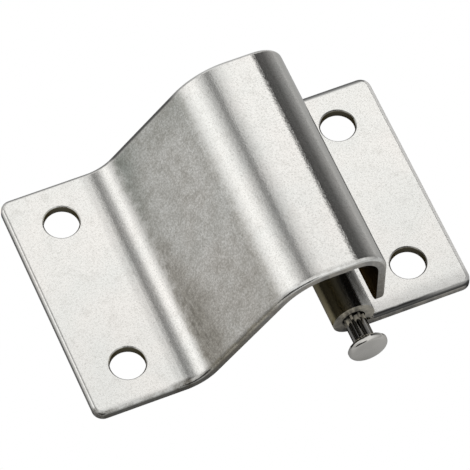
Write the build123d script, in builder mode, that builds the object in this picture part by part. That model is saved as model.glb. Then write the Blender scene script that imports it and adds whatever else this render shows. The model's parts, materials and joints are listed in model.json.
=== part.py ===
"""Folding door hinge: a raised cranked leaf, a flat leaf and a headed pin.

Millimetres, +Z up. The origin is the middle of the cranked leaf's two screw
holes on its mounting face. +X runs from there to the flat leaf, +Y runs along
the pin, away from its head.
"""
import math
import os

from build123d import *

# Sheet and leaves
LEAF_LENGTH = 48.4
SHEET = 1.8
CRANKED_REACH = 50.0
FLAT_REACH = 23.9
CORNER_RADIUS = 2.1
EDGE_ROLL = 0.8

# Screw holes
HOLE_DIAMETER = 6.6
HOLE_SPACING = 32.0
HOLE_INSET = 9.4
HOLE_BREAK = 0.25

# Folds of the cranked leaf, radii at the middle of the sheet
FLANGE_FLAT = 17.4
CRANK_ANGLE = 49.8
LOWER_BEND = 7.0
UPPER_BEND = 12.2
LIP_BEND = 4.8
LAND_TOP = 23.5
LIP_INSIDE = 4.25
LIP_BOTTOM = 6.7

# Knuckles
BORE_DIAMETER = 4.5
KNUCKLE_LENGTH = 16.0
KNUCKLE_GAP = 0.3
TONGUE_ANGLE = 60.0
TONGUE_BEND = 1.5
TONGUE_ROOT = 1.3
CRANKED_CURL = 280.0
FLAT_CURL = 297.0
NOTCH_REACH = 7.0
NOTCH_RADIUS = 1.0

# Pin
SHANK_DIAMETER = 4.0
FLUTE_CREST = 4.1
FLUTE_DEPTH = 0.35
FLUTE_RADIUS = 0.75
FLUTE_COUNT = 8
FLUTE_LENGTH = 7.2
NECK_LENGTH = 0.9
HEAD_DIAMETER = 7.6
HEAD_THICKNESS = 1.4
HEAD_RIM = 0.8
HEAD_BREAK = 0.35
PIN_LENGTH = 48.0
PIN_PROUD = 5.7
TIP_CHAMFER = 0.6

# Places this close count as the same
NEAR = 0.01

# Places that follow from the sizes above
BORE_RADIUS = BORE_DIAMETER / 2
EYE_RADIUS = BORE_RADIUS + SHEET / 2
KNUCKLE_RADIUS = BORE_RADIUS + SHEET
PIN_X = CRANKED_REACH - HOLE_INSET
PIN_Z = SHEET + BORE_RADIUS
HALF_LENGTH = LEAF_LENGTH / 2
FLAT_HOLE_X = PIN_X + FLAT_REACH - HOLE_INSET
MIDDLE_HALF = (KNUCKLE_LENGTH - KNUCKLE_GAP) / 2
NOTCH_HALF = (KNUCKLE_LENGTH + KNUCKLE_GAP) / 2


def strip_outline(start, heading, folds):
    """Draws the closed edge view of a folded strip of sheet.

    Each fold is a straight length, or a middle radius with a turn in degrees
    that is positive to the left.
    """
    x, z = start
    angle = math.radians(heading)
    half = SHEET / 2
    left_edges = []
    right_edges = []

    def beside(px, pz, direction, offset):
        return (px - offset * math.sin(direction), pz + offset * math.cos(direction))

    first_left = beside(x, z, angle, half)
    first_right = beside(x, z, angle, -half)
    for fold in folds:
        if len(fold) == 1:
            next_x = x + fold[0] * math.cos(angle)
            next_z = z + fold[0] * math.sin(angle)
            left_edges.append((beside(x, z, angle, half), beside(next_x, next_z, angle, half)))
            right_edges.append((beside(x, z, angle, -half), beside(next_x, next_z, angle, -half)))
            x, z = next_x, next_z
        else:
            radius, turn = fold
            side = math.copysign(1.0, turn)
            centre = beside(x, z, angle, side * radius)
            steps = []
            for part in (0.0, 0.5, 1.0):
                direction = angle + math.radians(turn) * part
                steps.append((beside(*centre, direction, -side * radius), direction))
            left_edges.append([beside(*point, direction, half) for point, direction in steps])
            right_edges.append([beside(*point, direction, -half) for point, direction in steps])
            (x, z), angle = steps[-1]
    for points in left_edges + right_edges:
        if len(points) == 2:
            Line(*points)
        else:
            ThreePointArc(*points)
    Line(first_left, first_right)
    Line(beside(x, z, angle, half), beside(x, z, angle, -half))


def on_flange_top(face):
    return abs(face.center().Z - SHEET) < NEAR


def round_a_hole(edge):
    return abs(edge.radius - HOLE_DIAMETER / 2) < NEAR


def at_notch_corner(edge):
    middle = edge.center()
    return abs(middle.X - PIN_X - NOTCH_REACH) < NEAR and abs(abs(middle.Y) - NOTCH_HALF) < NEAR


def at_tongue_root(edge):
    middle = edge.center()
    return abs(middle.Z - LIP_BOTTOM) < NEAR and abs(abs(middle.Y) - MIDDLE_HALF) < NEAR


def punch_holes(leaf, x):
    """Punches the two screw holes of a leaf and breaks their upper rims."""
    with Locations((x, 0, SHEET)):
        with GridLocations(0, HOLE_SPACING, 1, 2):
            Hole(HOLE_DIAMETER / 2, depth=SHEET)
    top = leaf.faces().filter_by(Axis.Z).filter_by(on_flange_top)
    rims = top.edges().filter_by(GeomType.CIRCLE).filter_by(round_a_hole)
    chamfer(rims, HOLE_BREAK)


# Folds of the cranked leaf, from the screw edge to the foot of the lip
crank = math.radians(CRANK_ANGLE)
crank_rise = LAND_TOP - SHEET
bends_rise = (LOWER_BEND + UPPER_BEND) * (1 - math.cos(crank))
slope_flat = (crank_rise - bends_rise) / math.sin(crank)
slope_run = (LOWER_BEND + UPPER_BEND) * math.sin(crank) + slope_flat * math.cos(crank)
lip_x = LIP_INSIDE + SHEET / 2
land_flat = CRANKED_REACH + lip_x - LIP_BEND - FLANGE_FLAT - slope_run
lip_flat = LAND_TOP - SHEET / 2 - LIP_BEND - LIP_BOTTOM
hood_folds = [
    (FLANGE_FLAT,),
    (LOWER_BEND, CRANK_ANGLE),
    (slope_flat,),
    (UPPER_BEND, -CRANK_ANGLE),
    (land_flat,),
    (LIP_BEND, -90.0),
    (lip_flat,),
]

# The tongue goes on down from the lip and rolls round the pin
tongue = math.radians(TONGUE_ANGLE)
tongue_corner = (lip_x * math.cos(tongue) - EYE_RADIUS) / math.sin(tongue)
tongue_middle_bend = TONGUE_BEND + SHEET / 2
tongue_setback = tongue_middle_bend * math.tan(tongue / 2)
tongue_slant = (lip_x - EYE_RADIUS * math.cos(tongue)) / math.sin(tongue)
tongue_top = LIP_BOTTOM + SHEET
tongue_folds = [
    (tongue_top - PIN_Z - tongue_corner - tongue_setback,),
    (tongue_middle_bend, -TONGUE_ANGLE),
    (tongue_slant - tongue_setback,),
]
curl_start = (PIN_X + EYE_RADIUS * math.cos(tongue), PIN_Z - EYE_RADIUS * math.sin(tongue))

with BuildPart() as cranked_leaf:
    with BuildSketch(Plane.XZ):
        with BuildLine():
            strip_outline((-HOLE_INSET, SHEET / 2), 0.0, hood_folds)
        make_face()
    extrude(amount=HALF_LENGTH, both=True)
    # Rounded corners of the screw flange and of the lip
    ends = cranked_leaf.edges().filter_by(Axis.Z).group_by(Axis.X)[0]
    fillet(ends, CORNER_RADIUS)
    lip_ends = cranked_leaf.edges().filter_by(Axis.X).group_by(Axis.X)[-1]
    fillet(lip_ends, CORNER_RADIUS)
    # Tongue below the middle of the lip, with rounded roots
    with BuildSketch(Plane.XZ):
        with BuildLine():
            strip_outline((PIN_X + lip_x, tongue_top), -90.0, tongue_folds)
        make_face()
    extrude(amount=MIDDLE_HALF, both=True)
    roots = cranked_leaf.edges().filter_by(Axis.X).filter_by(at_tongue_root)
    fillet(roots, TONGUE_ROOT)
    # The punch leaves the outline of the upper side rolled over
    flange_top = cranked_leaf.faces().filter_by(Axis.Z).filter_by(on_flange_top)
    outline = [edge for edge in flange_top.edges() if abs(edge.center().Y) > HALF_LENGTH - NEAR]
    fillet(outline, EDGE_ROLL)
    # Middle knuckle
    with BuildSketch(Plane.XZ):
        with BuildLine():
            strip_outline(curl_start, -90.0 - TONGUE_ANGLE, [(EYE_RADIUS, -CRANKED_CURL)])
        make_face()
    extrude(amount=MIDDLE_HALF, both=True)
    punch_holes(cranked_leaf, 0)
cranked_leaf.part.label = "cranked_leaf"

with BuildPart() as flat_leaf:
    # Plate beside the knuckles, with its outline rolled over like the other leaf's
    with BuildSketch():
        with Locations((PIN_X + KNUCKLE_RADIUS, 0)):
            Rectangle(FLAT_REACH - KNUCKLE_RADIUS, LEAF_LENGTH, align=(Align.MIN, Align.CENTER))
    extrude(amount=SHEET)
    outer_ends = flat_leaf.edges().filter_by(Axis.Z).group_by(Axis.X)[-1]
    fillet(outer_ends, CORNER_RADIUS)
    outline = flat_leaf.edges().group_by(Axis.Z)[-1].group_by(Axis.X)[-1]
    fillet(outline, EDGE_ROLL)
    # The inner edge goes on under the pin and rolls up round it
    with BuildSketch(Plane.XZ):
        with BuildLine():
            strip_outline(
                (PIN_X + KNUCKLE_RADIUS, SHEET / 2),
                180.0,
                [(KNUCKLE_RADIUS,), (EYE_RADIUS, -FLAT_CURL)],
            )
        make_face()
    extrude(amount=HALF_LENGTH, both=True)
    # Opening between the two knuckles for the middle one
    with Locations((PIN_X + NOTCH_REACH, 0, PIN_Z)):
        Box(
            NOTCH_REACH + 2 * KNUCKLE_RADIUS,
            2 * NOTCH_HALF,
            4 * KNUCKLE_RADIUS,
            align=(Align.MAX, Align.CENTER, Align.CENTER),
            mode=Mode.SUBTRACT,
        )
    notch_corners = flat_leaf.edges().filter_by(Axis.Z).filter_by(at_notch_corner)
    fillet(notch_corners, NOTCH_RADIUS)
    punch_holes(flat_leaf, FLAT_HOLE_X)
flat_leaf.part.label = "flat_leaf"

# The pin lies along Y, its head at the front
head_back = -HALF_LENGTH - PIN_PROUD
head_front = head_back - HEAD_THICKNESS
tip = head_back + PIN_LENGTH
head_edge = PIN_X + HEAD_DIAMETER / 2
with BuildPart() as hinge_pin:
    with BuildSketch(Plane.XY.offset(PIN_Z)):
        with BuildLine():
            Polyline(
                (PIN_X, head_front),
                (head_edge, head_front),
                (head_edge, head_back - HEAD_BREAK),
                (head_edge - HEAD_BREAK, head_back),
                (PIN_X + SHANK_DIAMETER / 2, head_back),
                (PIN_X + SHANK_DIAMETER / 2, head_back + NECK_LENGTH),
                (PIN_X + FLUTE_CREST / 2, head_back + NECK_LENGTH),
                (PIN_X + FLUTE_CREST / 2, head_back + NECK_LENGTH + FLUTE_LENGTH),
                (PIN_X + SHANK_DIAMETER / 2, head_back + NECK_LENGTH + FLUTE_LENGTH),
                (PIN_X + SHANK_DIAMETER / 2, tip - TIP_CHAMFER),
                (PIN_X + SHANK_DIAMETER / 2 - TIP_CHAMFER, tip),
                (PIN_X, tip),
                close=True,
            )
        make_face()
    revolve(axis=Axis((PIN_X, 0, PIN_Z), (0, 1, 0)))
    front_rim = hinge_pin.edges().group_by(Axis.Y)[0]
    fillet(front_rim, HEAD_RIM)
    # Flutes rolled into the shank below the head
    flutes_start = head_back + NECK_LENGTH
    with BuildSketch(Plane((PIN_X, flutes_start, PIN_Z), x_dir=(1, 0, 0), z_dir=(0, 1, 0))):
        with PolarLocations(FLUTE_CREST / 2 + FLUTE_RADIUS - FLUTE_DEPTH, FLUTE_COUNT):
            Circle(FLUTE_RADIUS)
    extrude(amount=FLUTE_LENGTH, mode=Mode.SUBTRACT)
hinge_pin.part.label = "hinge_pin"

os.makedirs("parts", exist_ok=True)
for piece in (cranked_leaf.part, flat_leaf.part, hinge_pin.part):
    export_step(piece, f"parts/{piece.label}.step")
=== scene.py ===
"""Studio scene of the folding door hinge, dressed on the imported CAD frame."""
import json
import math

import bpy
from mathutils import Matrix, Vector


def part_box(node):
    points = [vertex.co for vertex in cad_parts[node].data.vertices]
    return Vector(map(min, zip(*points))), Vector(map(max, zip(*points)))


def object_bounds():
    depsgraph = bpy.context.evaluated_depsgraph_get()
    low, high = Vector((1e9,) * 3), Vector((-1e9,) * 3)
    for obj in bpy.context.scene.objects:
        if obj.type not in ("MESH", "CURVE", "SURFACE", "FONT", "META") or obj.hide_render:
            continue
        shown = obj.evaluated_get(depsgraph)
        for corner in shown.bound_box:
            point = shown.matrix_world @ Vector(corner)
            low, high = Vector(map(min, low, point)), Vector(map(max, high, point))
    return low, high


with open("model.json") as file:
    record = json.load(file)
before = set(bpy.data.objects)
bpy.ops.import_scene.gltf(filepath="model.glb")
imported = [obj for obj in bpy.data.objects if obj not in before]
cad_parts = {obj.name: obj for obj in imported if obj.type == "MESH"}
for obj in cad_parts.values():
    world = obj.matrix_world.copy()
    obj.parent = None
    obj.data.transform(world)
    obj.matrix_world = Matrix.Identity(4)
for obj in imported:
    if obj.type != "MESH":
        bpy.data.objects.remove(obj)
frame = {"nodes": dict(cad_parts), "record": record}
cad_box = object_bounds()

MM = 0.001

# Places along X, in metres from the middle of the cranked leaf's screw holes
# The first two bound the painted shade beside the lower fold
FOLD_SHADE_START = 4.6 * MM
FOLD_SHADE_END = 10.2 * MM
SLOPE_FOOT = 13.0 * MM
SLOPE_HEAD = 25.5 * MM
LIP_START = 41.0 * MM
PIN_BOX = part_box("hinge_pin")
PIN_X = (PIN_BOX[0][0] + PIN_BOX[1][0]) / 2

# Places along Y, at the pin's head and at the front end of the knuckles
PIN_HEAD_FACE = PIN_BOX[0][1]
KNUCKLE_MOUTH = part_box("flat_leaf")[0][1]

# Noises of the plating: size of a blotch, detail and roughness
CLOUD = (12.0 * MM, 3.0, 0.55)
PATCH = (2.2 * MM, 3.0, 0.6)
DAPPLE = (0.80 * MM, 2.0, 0.6)
FLECK = (0.38 * MM, 2.0, 0.65)
SPECKLE = (0.30 * MM, 3.0, 0.7)
STREAK = (0.55 * MM, 2.0, 0.6)
STREAK_SQUEEZE = (1.0, 0.22, 1.0)
PIN_CLOUD = (4.0 * MM, 2.0, 0.5)
PIN_GRAIN = (0.35 * MM, 2.0, 0.5)

# Spread of a noise about its middle
WIDE_SPREAD = (0.35, 0.65)
NARROW_SPREAD = (0.38, 0.62)

# Lean of the normal along one axis, where a face starts to count as the named one and where it fully does
SLOPE_LEAN = (-0.64, -0.75)
LIP_OUTSIDE_LEAN = (0.50, 0.78)
LIP_INSIDE_LEAN = (-0.15, -0.60)
UNDERSIDE_LEAN = (-0.05, -0.45)
UPPER_LEAN = (0.3, 0.6)
LEVEL_LEAN = (0.90, 0.98)
FRONT_EDGE_LEAN = (-0.40, -0.75)
FREE_SIDE_LEAN = (0.04, 0.25)
CURL_LEFT_LEAN = (0.10, -0.50)
CURL_RIGHT_LEAN = (0.27, 0.45)
CUT_LEAN = (0.90, 0.98)
DULL_CUT_LEAN = (0.90, 0.97)
OFF_END_LEAN = (0.90, 0.60)

# Gloss and grain
ZINC_ROUGHNESS = (0.10, 0.19)
CUT_ROUGHNESS = 0.20
CURL_ROUGHNESS = (0.06, 0.62)
PEEL_STRENGTH = 0.70
PEEL_DEPTH = 0.05 * MM
PIN_ROUGHNESS = (0.08, 0.13)
PIN_GRAIN_STRENGTH = 0.03
PIN_GRAIN_DEPTH = 0.03 * MM

# Colours of the leaves
WHITE = (1.0, 1.0, 1.0)
ZINC_COOL = (0.855, 0.852, 0.82)
ZINC_WARM = (0.895, 0.873, 0.835)
# Tan and green of the slope's dull film, which is also painted shade at the slope's foot
FILM_SHADE_TAN = (0.57, 0.545, 0.495)
FILM_SHADE_GREEN = (0.51, 0.535, 0.50)
SLOPE_FLECK = (0.70, 0.695, 0.675)
SLOPE_MOTTLE = (0.66, 0.64, 0.60)
STREAK_GREY = (0.45, 0.44, 0.42)
FLECK_GREY = (0.58, 0.575, 0.56)
SPECKLE_GREY = (0.56, 0.555, 0.54)
PATCH_GREY = (0.66, 0.65, 0.63)
# Painted light on the flat leaf's right-facing free side
SIDE_BRIGHT = (0.97, 0.96, 0.94)
# Painted shade on the outer face of the lip
LIP_GREY = (0.50, 0.495, 0.47)
FRONT_SHADE = (0.22, 0.22, 0.22)
FRONT_DIM = (0.40, 0.40, 0.39)
CUT_DARK = (0.62, 0.62, 0.61)
CUT_LIGHT = (1.0, 0.97, 0.91)
# Dark brown painted shade along the cranked leaf's front edge
EDGE_SHADE = (0.11, 0.10, 0.08)
# Painted shade, with a warm tint, on the walls of the holes
HOLE_WALL = (0.19, 0.175, 0.13)
HOLE_GRAZE = (0.35, 0.32, 0.26)
# Painted shade inside the hood
HOOD_INSIDE = (0.11, 0.095, 0.078)
HOOD_GRAZE = (0.29, 0.27, 0.24)
CURL_GREY = (0.88, 0.875, 0.85)
CURL_TAN = (0.86, 0.75, 0.46)

# Colours of the pin
PIN_DULL = (0.64, 0.625, 0.59)
PIN_BRIGHT = (0.71, 0.695, 0.66)
SHANK_GREY = (0.56, 0.55, 0.52)
SHANK_SHADE = (0.08, 0.075, 0.07)

# The floor, and how it shows in the metal
FLOOR_SIZE = 6.0
FLOOR_DROP = 0.2 * MM
FLOOR_PALE = (0.72, 0.72, 0.70, 1)
FLOOR_ROUGHNESS = 0.9
FLOOR_IN_METAL = 0.54
FLOOR_SHADE_REACH = 60.0 * MM
FLOOR_SHADE_POWER = 1.05

# Sky by degrees from straight up, positive to the left of the pin
OPEN_SKY = [(-180, 0.30), (-95, 0.34), (-60, 0.60), (-25, 0.92), (25, 0.92), (60, 0.65), (95, 0.38),
            (180, 0.30)]
SOFT_BOXES = [(-180, 0.30), (-119, 0.43), (-99, 0.41), (-79, 0.31), (-59, 0.18), (-40, 0.08), (-27, 0.03),
              (-23.5, 1.10), (-12, 1.05), (-4.4, 0.92), (3, 0.76), (12, 0.58), (16, 0.16), (18.5, 0.14),
              (22, 0.36), (27, 0.52), (34, 0.74), (40, 0.95), (46, 1.10), (54, 1.12), (61, 0.97), (68, 0.84),
              (75, 0.72), (80, 0.66), (84, 0.605), (95, 0.58), (180, 0.30)]
FAR_BACK_LEVEL = 0.60
FRONT_DARKNESS = 0.92

# Places of the colour sockets on a mix node, which has sockets for every kind of value
MIX_SHARE = 0
MIX_FIRST = 6
MIX_SECOND = 7
MIX_RESULT = 2

# The photograph's camera, fitted to the screw holes and the leaf edges
VIEW_AIM = Vector((0.02835, 0.00163, 0.00136))
VIEW_AZIMUTH = -24.38
VIEW_ELEVATION = 58.75
VIEW_ROLL = 1.73
VIEW_DISTANCE = 0.830
VIEW_LENS = 348.0
VIEW_CLIP = 0.05
SENSOR = 36.0


class Nodes:
    """Adds the nodes of one material or world and hands back their outputs."""

    def __init__(self, tree):
        self.tree = tree

    def feed(self, socket, value):
        """Links an output to a socket, or sets the socket to a value."""
        if isinstance(value, bpy.types.NodeSocket):
            self.tree.links.new(value, socket)
        else:
            socket.default_value = value

    def add(self, kind, **inputs):
        """Adds a node and feeds its inputs by name, with an underscore for a space."""
        node = self.tree.nodes.new(kind)
        for name, value in inputs.items():
            self.feed(node.inputs[name.replace("_", " ")], value)
        return node

    def maths(self, operation, first, second=0.0, clamp=False):
        node = self.tree.nodes.new("ShaderNodeMath")
        node.operation = operation
        node.use_clamp = clamp
        self.feed(node.inputs[0], first)
        self.feed(node.inputs[1], second)
        return node.outputs[0]

    def times(self, result, *factors):
        for factor in factors:
            result = self.maths("MULTIPLY", result, factor)
        return result

    def plus(self, result, *terms):
        for term in terms:
            result = self.maths("ADD", result, term)
        return result

    def minus(self, first, second):
        return self.maths("SUBTRACT", first, second)

    def larger(self, first, second):
        return self.maths("MAXIMUM", first, second)

    def smooth(self, value, start, end, low=0.0, high=1.0):
        """Goes smoothly from low, up to the start value, to high, from the end value on."""
        node = self.add("ShaderNodeMapRange", Value=value, From_Min=start, From_Max=end,
                        To_Min=low, To_Max=high)
        node.interpolation_type = "SMOOTHSTEP"
        return node.outputs["Result"]

    def mix(self, share, first, second, blend="MIX"):
        """Mixes two colours, each an output or red, green and blue."""
        node = self.tree.nodes.new("ShaderNodeMix")
        node.data_type = "RGBA"
        node.blend_type = blend
        self.feed(node.inputs[MIX_SHARE], share)
        for place, colour in ((MIX_FIRST, first), (MIX_SECOND, second)):
            self.feed(node.inputs[place], (*colour, 1) if isinstance(colour, tuple) else colour)
        return node.outputs[MIX_RESULT]

    def stain(self, share, plate, tint):
        """Darkens a share of the plate by a tint."""
        return self.mix(share, plate, tint, "MULTIPLY")

    def noise(self, place, blotch, detail, roughness):
        """Noise whose blotches have about the given size, in metres."""
        node = self.add("ShaderNodeTexNoise", Vector=place, Scale=1.0 / blotch,
                        Detail=detail, Roughness=roughness)
        return node.outputs["Fac"]

    def ramp(self, value, stops):
        """A colour ramp through (position, colour) stops."""
        node = self.add("ShaderNodeValToRGB", Fac=value)
        elements = node.color_ramp.elements
        while len(elements) > 1:
            elements.remove(elements[0])
        for index, (position, colour) in enumerate(stops):
            element = elements[0] if index == 0 else elements.new(position)
            element.position = position
            element.color = (*colour, 1)
        return node.outputs["Color"]

    def grey_ramp(self, value, stops):
        """A ramp through (position, level) stops."""
        return self.ramp(value, [(position, (level, level, level)) for position, level in stops])

    def split(self, vector):
        return self.add("ShaderNodeSeparateXYZ", Vector=vector).outputs

    def squeeze(self, vector, factors):
        node = self.tree.nodes.new("ShaderNodeVectorMath")
        node.operation = "MULTIPLY"
        self.feed(node.inputs[0], vector)
        self.feed(node.inputs[1], factors)
        return node.outputs[0]


def new_material(name):
    material = bpy.data.materials.new(name)
    material.use_nodes = True
    return material, Nodes(material.node_tree), material.node_tree.nodes["Principled BSDF"]


class LeafFace:
    """Where a point of a leaf lies, how its surface is turned there, and the noises of its plating."""

    def __init__(self, nodes, leaf):
        coordinates = nodes.add("ShaderNodeTexCoord").outputs
        self.nodes = nodes
        self.spot = coordinates["Object"]
        self.place = nodes.split(self.spot)
        self.normal = nodes.split(coordinates["Normal"])
        node = leaf["node"]
        self.low, self.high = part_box(node)
        self.from_front = nodes.minus(self.place["Y"], self.low[1])
        self.from_back = nodes.minus(self.high[1], self.place["Y"])
        rise = nodes.minus(self.place["Z"], self.low[2])
        self.height = nodes.maths("DIVIDE", rise, self.high[2] - self.low[2])
        self.cloud = nodes.noise(self.spot, *CLOUD)
        self.patch = nodes.noise(self.spot, *PATCH)
        self.dapple = nodes.noise(self.spot, *DAPPLE)
        self.fleck = nodes.noise(self.spot, *FLECK)
        self.speckle = nodes.noise(self.spot, *SPECKLE)
        self.turn_edges(leaf["outward"])
        self.find_slope()

    def turn_edges(self, outward):
        """Notes how far the ends and the free side are turned over, 0 on the flat and 1 on the cut.

        Outward is the way of the free side along X, 1 or -1.
        """
        nodes = self.nodes
        side_band = 1.0 * MM
        side_x = self.high[0] if outward > 0 else self.low[0]
        past_band = nodes.times(nodes.minus(self.place["X"], side_x - outward * side_band), outward)
        self.ends = nodes.maths("ABSOLUTE", self.normal["Y"])
        self.side = nodes.times(self.normal["X"], outward, nodes.smooth(past_band, 0.0, 0.05 * MM))
        self.turned = nodes.larger(self.ends, self.side)

    def find_slope(self):
        """Marks the upper face of the slope, with a foot that wanders and comes lower in front."""
        nodes = self.nodes
        wander = nodes.smooth(self.patch, *WIDE_SPREAD, -0.32 * MM, 0.32 * MM)
        lower = nodes.smooth(self.place["Y"], -4.0 * MM, -16.0 * MM, 0.0, 0.6 * MM)
        along = nodes.plus(self.place["X"], wander, lower)
        past_foot = nodes.smooth(along, SLOPE_FOOT - 1.2 * MM, SLOPE_FOOT + 1.0 * MM)
        self.on_slope = nodes.times(nodes.smooth(self.normal["X"], *SLOPE_LEAN), past_foot)


def hole_walls(face, mount):
    """1 on the walls of the two punched holes of a leaf."""
    nodes = face.nodes
    radius = mount["dims"]["hole_r_mm"] * MM
    step = mount["dims"]["spacing_y_mm"] * MM
    across = nodes.minus(face.place["X"], mount["pos_m"][0])
    along = nodes.minus(nodes.maths("ABSOLUTE", face.place["Y"]), step / 2)
    square = nodes.plus(nodes.times(across, across), nodes.times(along, along))
    return nodes.smooth(nodes.maths("SQRT", square), radius + 0.10 * MM, radius + 0.03 * MM)


def slope_film_and_shade(face):
    """Share of dull film on the slope, a tan tint that is painted shade at its foot: most at its foot in
    front and at its back, a little at its head.
    """
    nodes = face.nodes
    x, y = face.place["X"], face.place["Y"]
    foot = nodes.smooth(x, SLOPE_FOOT + 5.5 * MM, SLOPE_FOOT + 0.3 * MM)
    front = nodes.smooth(y, 3.0 * MM, -16.0 * MM, 0.48, 1.0)
    head = nodes.smooth(x, SLOPE_HEAD - 3.0 * MM, SLOPE_HEAD, 0.0, 0.15)
    ends = nodes.smooth(nodes.maths("ABSOLUTE", y), 6.0 * MM, 21.0 * MM, 0.0, 0.20)
    back = nodes.smooth(face.from_back, 9.0 * MM, 3.0 * MM, 0.0, 0.22)
    drift = nodes.smooth(face.cloud, *WIDE_SPREAD, -0.20, 0.20)
    shade_and_film = nodes.plus(nodes.times(foot, front), head, ends)
    shade_and_film = nodes.maths("ADD", shade_and_film, nodes.plus(back, drift), clamp=True)
    off_rim = nodes.smooth(face.from_back, 0.8 * MM, 1.5 * MM)
    return nodes.times(face.on_slope, shade_and_film, off_rim)


def foot_streaks(face):
    """Short dull streaks along the fold at the foot of the slope, most in front."""
    nodes = face.nodes
    x = face.place["X"]
    streak = nodes.noise(nodes.squeeze(face.spot, STREAK_SQUEEZE), *STREAK)
    begins = nodes.smooth(x, SLOPE_FOOT - 0.6 * MM, SLOPE_FOOT + 0.5 * MM)
    ends = nodes.smooth(x, SLOPE_FOOT + 3.5 * MM, SLOPE_FOOT + 0.8 * MM)
    front = nodes.smooth(face.place["Y"], 12.0 * MM, -16.0 * MM, 0.15, 1.0)
    raised = nodes.smooth(face.place["Z"], 1.9 * MM, 2.6 * MM)
    return nodes.times(nodes.smooth(streak, 0.46, 0.66, 0.0, 0.55), begins, ends, front, raised)


def front_edge_shade(face):
    """Ragged painted shade along the front edge: most on the slope, at the corner and beside the lower fold.
    """
    nodes = face.nodes
    x = face.place["X"]
    left = face.low[0]
    blotch = nodes.plus(nodes.times(face.patch, 0.6), nodes.times(face.speckle, 0.4))
    ragged = nodes.smooth(blotch, 0.43, 0.57)
    line = nodes.smooth(face.from_front, 0.85 * MM, 0.35 * MM)
    amount = nodes.grey_ramp(face.height, [(0.08, 0.42), (0.2, 0.55), (0.7, 0.55), (0.92, 0.15)])
    edge = nodes.times(line, ragged, amount)
    corner = nodes.times(nodes.smooth(x, left + 4.5 * MM, left + 2.0 * MM),
                         nodes.smooth(face.from_front, 2.6 * MM, 1.4 * MM),
                         nodes.smooth(face.turned, 0.10, 0.45))
    fold = nodes.times(nodes.smooth(x, FOLD_SHADE_START, FOLD_SHADE_START + 2.0 * MM),
                       nodes.smooth(x, FOLD_SHADE_END, FOLD_SHADE_END - 1.6 * MM),
                       nodes.smooth(face.from_front, 1.5 * MM, 0.7 * MM))
    corner_fold_shade = nodes.times(nodes.larger(corner, fold), nodes.smooth(blotch, 0.40, 0.56, 0.45, 0.95))
    return nodes.larger(edge, corner_fold_shade)


def hood_inside(face):
    """1 on the inner face of the lip, less on the rest of the inside of the hood, 0 on the mounting face."""
    nodes = face.nodes
    under = nodes.smooth(face.normal["Z"], *UNDERSIDE_LEAN, 0.0, 0.55)
    raised = nodes.smooth(face.place["Z"], 0.4 * MM, 1.2 * MM)
    lip_side = nodes.smooth(face.normal["X"], *LIP_INSIDE_LEAN)
    past_land = nodes.smooth(face.place["X"], LIP_START, LIP_START + 1.5 * MM)
    return nodes.larger(nodes.times(under, raised), nodes.times(lip_side, past_land))


def knuckle_curl(face):
    """1 on the rolled outside of the knuckles, 0 on their end faces and on the flat."""
    nodes = face.nodes
    near_pin = nodes.smooth(face.place["X"], PIN_X + 4.4 * MM, PIN_X + 3.2 * MM)
    return nodes.times(near_pin, nodes.smooth(face.ends, *OFF_END_LEAN))


def worn_and_shaded_zinc(face, cranked):
    """The plating with its film, streaks and grain, with painted shade at the slope's foot and on the lip's
    outer face and painted light on the free side, before its edges.
    """
    nodes = face.nodes
    plate = nodes.ramp(face.cloud, zip(NARROW_SPREAD, (ZINC_COOL, ZINC_WARM)))
    toward_back = nodes.smooth(face.place["Y"], -4.0 * MM, 14.0 * MM)
    # The slope's dull film, which is painted shade at its foot in front
    plate = nodes.mix(slope_film_and_shade(face), plate, nodes.mix(toward_back, FILM_SHADE_TAN, FILM_SHADE_GREEN))
    slope_flecks = nodes.times(nodes.smooth(face.fleck, 0.35, 0.54, 0.0, 0.70), face.on_slope)
    plate = nodes.stain(slope_flecks, plate, SLOPE_FLECK)
    slope_mottle = nodes.times(nodes.smooth(face.patch, *NARROW_SPREAD, 0.0, 0.30), face.on_slope)
    plate = nodes.stain(slope_mottle, plate, SLOPE_MOTTLE)
    plate = nodes.stain(foot_streaks(face), plate, STREAK_GREY)
    plate = nodes.stain(nodes.smooth(face.fleck, 0.50, 0.68, 0.0, 0.30), plate, FLECK_GREY)
    plate = nodes.stain(nodes.smooth(face.speckle, 0.47, 0.70, 0.0, 0.42), plate, SPECKLE_GREY)
    plate = nodes.stain(nodes.smooth(face.patch, 0.50, 0.75, 0.0, 0.25), plate, PATCH_GREY)
    if cranked:
        # Painted shade on the outer face of the lip
        lip_outside = nodes.smooth(face.normal["X"], *LIP_OUTSIDE_LEAN, 0.0, 0.70)
        return nodes.mix(lip_outside, plate, LIP_GREY)
    # Painted light: the flat leaf's right-facing free side is made paler
    return nodes.mix(nodes.smooth(face.normal["X"], *FREE_SIDE_LEAN), plate, SIDE_BRIGHT)


def darker_to_front(face, leaf, plate):
    """Dims the level faces toward the front, and more so close to the front edge."""
    nodes = face.nodes
    fade = nodes.smooth(face.from_front, leaf["fade reach"], 0.8 * MM, 0.0, leaf["fade share"])
    plate = nodes.mix(nodes.times(fade, nodes.smooth(face.normal["Z"], *UPPER_LEAN)), plate, FRONT_SHADE)
    dimmer = nodes.smooth(face.place["Y"], 18.0 * MM, -22.0 * MM, 0.0, 0.13)
    return nodes.mix(nodes.times(dimmer, nodes.smooth(face.normal["Z"], *LEVEL_LEAN)), plate, FRONT_DIM)


def front_rim(face, leaf, cranked):
    """1 on the rolled front rim. On the flat leaf it pales toward the free side."""
    nodes = face.nodes
    uneven = nodes.smooth(face.patch, *WIDE_SPREAD, -leaf["rim uneven"], leaf["rim uneven"])
    start = leaf["front start"]
    rim = nodes.smooth(nodes.plus(face.from_front, uneven), start, start - 0.45 * MM)
    if cranked:
        return rim
    side_x = face.high[0]
    return nodes.times(rim, nodes.smooth(face.place["X"], side_x - 12.0 * MM, side_x - 5.0 * MM, 1.0, 0.55))


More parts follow.
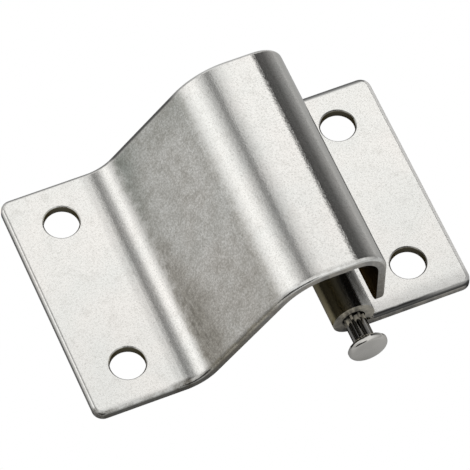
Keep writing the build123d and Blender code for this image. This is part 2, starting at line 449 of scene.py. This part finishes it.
def rims_and_cuts(face, leaf, rim, plate):
    """Colours the rolled rims and the sheared edges by their height on the leaf, with painted shade in dark
    lines along the rims and on the cuts toward the foot.
    """
    nodes = face.nodes
    plate = nodes.mix(rim, plate, nodes.ramp(face.height, leaf["front"]))
    front_edge = nodes.smooth(face.normal["Y"], *FRONT_EDGE_LEAN)
    plate = nodes.mix(front_edge, plate, nodes.ramp(face.height, leaf["front edge"]))
    wider_on_slope = nodes.times(face.on_slope, 0.45 * MM)
    back_start = leaf["back start"]
    back_rim = nodes.smooth(nodes.minus(face.from_back, wider_on_slope), back_start, back_start - 0.5 * MM)
    plate = nodes.mix(back_rim, plate, nodes.ramp(face.height, leaf["back"]))
    cut = nodes.mix(nodes.smooth(face.patch, *NARROW_SPREAD), CUT_DARK, CUT_LIGHT)
    cut = nodes.stain(1.0, cut, nodes.ramp(face.height, leaf["cut"]))
    return nodes.mix(nodes.smooth(face.turned, *CUT_LEAN), plate, cut)


def gloss(face, leaf):
    """Roughness of the plating, duller on the cuts and on the free side."""
    nodes = face.nodes
    grain = nodes.smooth(face.speckle, 0.3, 0.75, *ZINC_ROUGHNESS)
    cut = nodes.smooth(face.turned, *DULL_CUT_LEAN, 0.0, CUT_ROUGHNESS)
    side = nodes.smooth(face.side, *FREE_SIDE_LEAN, 0.0, leaf["side roughness"])
    return nodes.plus(grain, cut, side)


def relief(face, folds):
    """Normal of the orange-peel grain, over the gentle run-in beside each fold.

    Each fold is the start, end and rise of its run-in along X, in millimetres.
    """
    nodes = face.nodes
    peel = nodes.plus(nodes.times(face.dapple, 0.55), nodes.times(face.speckle, 0.45))
    bump = nodes.add("ShaderNodeBump", Strength=PEEL_STRENGTH, Distance=PEEL_DEPTH, Height=peel)
    if folds:
        steps = [nodes.smooth(face.place["X"], start * MM, end * MM, 0.0, rise) for start, end, rise in folds]
        form = nodes.add("ShaderNodeBump", Strength=1.0, Distance=MM, Height=nodes.plus(*steps))
        nodes.feed(bump.inputs["Normal"], form.outputs["Normal"])
    return bump.outputs["Normal"]


def zinc_sheet(name, leaf):
    """Bright zinc plate on rolled sheet: flecks, a dull film on the slope that is painted shade at its foot,
    rolled rims and sheared edges, with painted shade on the rims and cuts, in the holes and inside the hood.
    """
    material, nodes, shader = new_material(name)
    face = LeafFace(nodes, leaf)
    cranked = leaf["node"] == "cranked_leaf"
    rim = front_rim(face, leaf, cranked)
    plate = darker_to_front(face, leaf, worn_and_shaded_zinc(face, cranked))
    plate = rims_and_cuts(face, leaf, rim, plate)
    if cranked:
        # Painted shade along the front edge, at the corner and beside the lower fold
        plate = nodes.mix(front_edge_shade(face), plate, EDGE_SHADE)
    # Painted shade, with a warm tint, on the walls of the holes
    in_hole = hole_walls(face, leaf["mount"])
    plate = nodes.mix(in_hole, plate, HOLE_WALL)
    # Darker specular tint: painted shade in the grazing reflection of the flat leaf's front rim and of the
    # hole walls
    graze = nodes.mix(rim, nodes.mix(in_hole, WHITE, HOLE_GRAZE), leaf["graze"])
    rough = gloss(face, leaf)
    if cranked:
        # Painted shade inside the hood, darkest on the lip's inner face, also in its grazing reflection
        inside = hood_inside(face)
        plate = nodes.mix(inside, plate, HOOD_INSIDE)
        graze = nodes.mix(inside, graze, HOOD_GRAZE)
    else:
        curl = knuckle_curl(face)
        toward_left = nodes.smooth(face.normal["X"], *CURL_LEFT_LEAN)
        plate = nodes.mix(curl, plate, nodes.mix(toward_left, CURL_GREY, CURL_TAN))
        dull_right = nodes.smooth(face.normal["X"], *CURL_RIGHT_LEAN, *CURL_ROUGHNESS)
        rough = nodes.plus(rough, nodes.times(curl, dull_right))
    shader.inputs["Metallic"].default_value = 1.0
    nodes.feed(shader.inputs["Base Color"], plate)
    nodes.feed(shader.inputs["Specular Tint"], graze)
    nodes.feed(shader.inputs["Roughness"], rough)
    nodes.feed(shader.inputs["Normal"], relief(face, leaf["folds"]))
    return material


def plated_pin(name):
    """Smooth bright plating, greyer on the shank and dark at the mouth of the knuckle."""
    material, nodes, shader = new_material(name)
    spot = nodes.add("ShaderNodeTexCoord").outputs["Object"]
    along = nodes.split(spot)["Y"]
    cloud = nodes.noise(spot, *PIN_CLOUD)
    grain = nodes.noise(spot, *PIN_GRAIN)
    tint = nodes.mix(nodes.smooth(cloud, *WIDE_SPREAD), PIN_DULL, PIN_BRIGHT)
    shank = nodes.smooth(along, PIN_HEAD_FACE + 1.5 * MM, PIN_HEAD_FACE + 2.0 * MM)
    tint = nodes.mix(shank, tint, SHANK_GREY)
    at_mouth = nodes.smooth(along, KNUCKLE_MOUTH - 2.2 * MM, KNUCKLE_MOUTH - 0.4 * MM, 0.0, 0.6)
    tint = nodes.mix(at_mouth, tint, SHANK_SHADE)
    bump = nodes.add("ShaderNodeBump", Strength=PIN_GRAIN_STRENGTH, Distance=PIN_GRAIN_DEPTH, Height=grain)
    shader.inputs["Metallic"].default_value = 1.0
    nodes.feed(shader.inputs["Base Color"], tint)
    nodes.feed(shader.inputs["Roughness"], nodes.smooth(grain, 0.3, 0.7, *PIN_ROUGHNESS))
    nodes.feed(shader.inputs["Normal"], bump.outputs["Normal"])
    return material


def dress(node, material):
    piece = frame["nodes"][node]
    piece.data.materials.clear()
    piece.data.materials.append(material)


def sky_by_angle(nodes, turn, levels):
    return nodes.grey_ramp(turn, [(degrees / 360 + 0.5, level) for degrees, level in levels])


def studio_world():
    """A bright overhead sky, with soft boxes and dark gaps behind the hinge and a dark patch low in front."""
    world = bpy.data.worlds.new("studio")
    bpy.context.scene.world = world
    world.use_nodes = True
    nodes = Nodes(world.node_tree)
    direction = nodes.split(nodes.add("ShaderNodeTexCoord").outputs["Generated"])
    x, y, z = direction["X"], direction["Y"], direction["Z"]
    angle = nodes.maths("ARCTAN2", nodes.times(x, -1.0), z)
    turn = nodes.plus(nodes.maths("DIVIDE", angle, 2 * math.pi), 0.5)
    behind = nodes.times(nodes.smooth(y, 0.10, 0.30), nodes.smooth(y, 0.74, 0.60))
    sky = nodes.mix(behind, sky_by_angle(nodes, turn, OPEN_SKY), sky_by_angle(nodes, turn, SOFT_BOXES))
    far_back = nodes.smooth(y, 0.60, 0.95, 1.0, FAR_BACK_LEVEL)
    in_front = nodes.smooth(y, -0.42, -0.60)
    to_left = nodes.times(nodes.smooth(x, -0.90, -0.78), nodes.smooth(x, 0.10, -0.06))
    low_down = nodes.smooth(z, 0.58, 0.44)
    dark_patch = nodes.times(in_front, to_left, low_down, FRONT_DARKNESS)
    background = world.node_tree.nodes["Background"]
    nodes.feed(background.inputs["Color"], sky)
    nodes.feed(background.inputs["Strength"], nodes.times(far_back, nodes.minus(1.0, dark_patch)))


def white_floor():
    """A pale floor, plain white to the camera, that shows in the metal with the hinge's shade on it."""
    bpy.ops.mesh.primitive_plane_add(size=FLOOR_SIZE, location=(0, 0, cad_box[0][2] - FLOOR_DROP))
    floor = bpy.context.object
    floor.name = "floor"
    material, nodes, shader = new_material("floor_white")
    shader.inputs["Base Color"].default_value = FLOOR_PALE
    shader.inputs["Roughness"].default_value = FLOOR_ROUGHNESS
    path = nodes.add("ShaderNodeLightPath").outputs
    direct = nodes.plus(path["Is Camera Ray"], path["Is Transmission Ray"])
    seen = nodes.maths("ADD", direct, path["Is Glossy Ray"], clamp=True)
    open_share = nodes.add("ShaderNodeAmbientOcclusion", Distance=FLOOR_SHADE_REACH).outputs["AO"]
    shade = nodes.times(nodes.maths("POWER", open_share, FLOOR_SHADE_POWER), FLOOR_IN_METAL)
    strength = nodes.larger(shade, path["Is Camera Ray"])
    glow = nodes.add("ShaderNodeEmission", Color=(1, 1, 1, 1), Strength=strength)
    mix = nodes.add("ShaderNodeMixShader")
    for socket, output in zip(mix.inputs, (seen, shader.outputs[0], glow.outputs[0])):
        nodes.feed(socket, output)
    nodes.feed(material.node_tree.nodes["Material Output"].inputs["Surface"], mix.outputs[0])
    floor.data.materials.append(material)


def photo_camera():
    azimuth = math.radians(VIEW_AZIMUTH)
    elevation = math.radians(VIEW_ELEVATION)
    back = Vector((math.sin(azimuth) * math.cos(elevation),
                   -math.cos(azimuth) * math.cos(elevation),
                   math.sin(elevation)))
    level_right = (-back).cross(Vector((0, 0, 1))).normalized()
    right = Matrix.Rotation(math.radians(-VIEW_ROLL), 3, -back) @ level_right
    up = back.cross(right)
    data = bpy.data.cameras.new("photo_camera")
    data.lens = VIEW_LENS
    data.sensor_width = SENSOR
    data.clip_start = VIEW_CLIP
    camera = bpy.data.objects.new("photo_camera", data)
    bpy.context.collection.objects.link(camera)
    turn = Matrix((right, up, back)).transposed().to_4x4()
    camera.matrix_world = Matrix.Translation(VIEW_AIM + back * VIEW_DISTANCE) @ turn
    bpy.context.scene.camera = camera


# What differs between the leaves, with rim and cut colours by height from 0 at the foot to 1 at the top; the
# dark rim lines and the darker cuts are painted shade
mounts = {mount["name"]: mount for mount in frame["record"]["mounts"]}
cranked_leaf = {
    "node": "cranked_leaf",
    "mount": mounts["cranked_leaf_holes"],
    "outward": -1,
    "front start": 0.75 * MM,
    "rim uneven": 0.22 * MM,
    "front": [(0.08, (0.60, 0.60, 0.58)), (0.22, (0.40, 0.37, 0.30)), (0.72, (0.44, 0.41, 0.34)),
              (0.92, (0.86, 0.86, 0.84))],
    "front edge": [(0.08, (0.58, 0.58, 0.56)), (0.22, (0.46, 0.43, 0.36)), (0.72, (0.52, 0.49, 0.42)),
                   (0.92, (0.88, 0.88, 0.85))],
    "cut": [(0.08, (0.26, 0.26, 0.25)), (0.3, (0.34, 0.32, 0.28)), (0.8, (0.58, 0.57, 0.55))],
    "graze": WHITE,
    "back start": 0.80 * MM,
    # A dark line of painted shade along the slope's back rim
    "back": [(0.08, (0.40, 0.40, 0.39)), (0.2, (0.13, 0.13, 0.125)), (0.75, (0.13, 0.13, 0.125)),
             (0.92, (0.92, 0.92, 0.90))],
    "fade reach": 1.3 * MM,
    "fade share": 0.22,
    "side roughness": 0.0,
    "folds": [(6.2, 10.0, 0.31), (10.6, 13.4, -0.09), (39.9, 42.3, -0.20)],
}
flat_leaf = {
    "node": "flat_leaf",
    "mount": mounts["flat_leaf_holes"],
    "outward": 1,
    "front start": 0.98 * MM,
    "rim uneven": 0.04 * MM,
    # A near-black band of painted shade along the flat leaf's front rim
    "front": [(0.0, (0.028, 0.028, 0.028))],
    "front edge": [(0.0, (0.08, 0.08, 0.078))],
    "cut": [(0.22, (0.60, 0.59, 0.57)), (0.4, (1.0, 0.97, 0.89))],
    "graze": (0.12, 0.12, 0.12),
    "back start": 1.25 * MM,
    "back": [(0.0, (0.25, 0.25, 0.245))],
    "fade reach": 4.5 * MM,
    "fade share": 0.40,
    "side roughness": 0.65,
    "folds": [],
}
dress("cranked_leaf", zinc_sheet("zinc_cranked", cranked_leaf))
dress("flat_leaf", zinc_sheet("zinc_flat", flat_leaf))
dress("hinge_pin", plated_pin("pin_plating"))
studio_world()
white_floor()
photo_camera()
bpy.context.scene.view_settings.view_transform = "Standard"
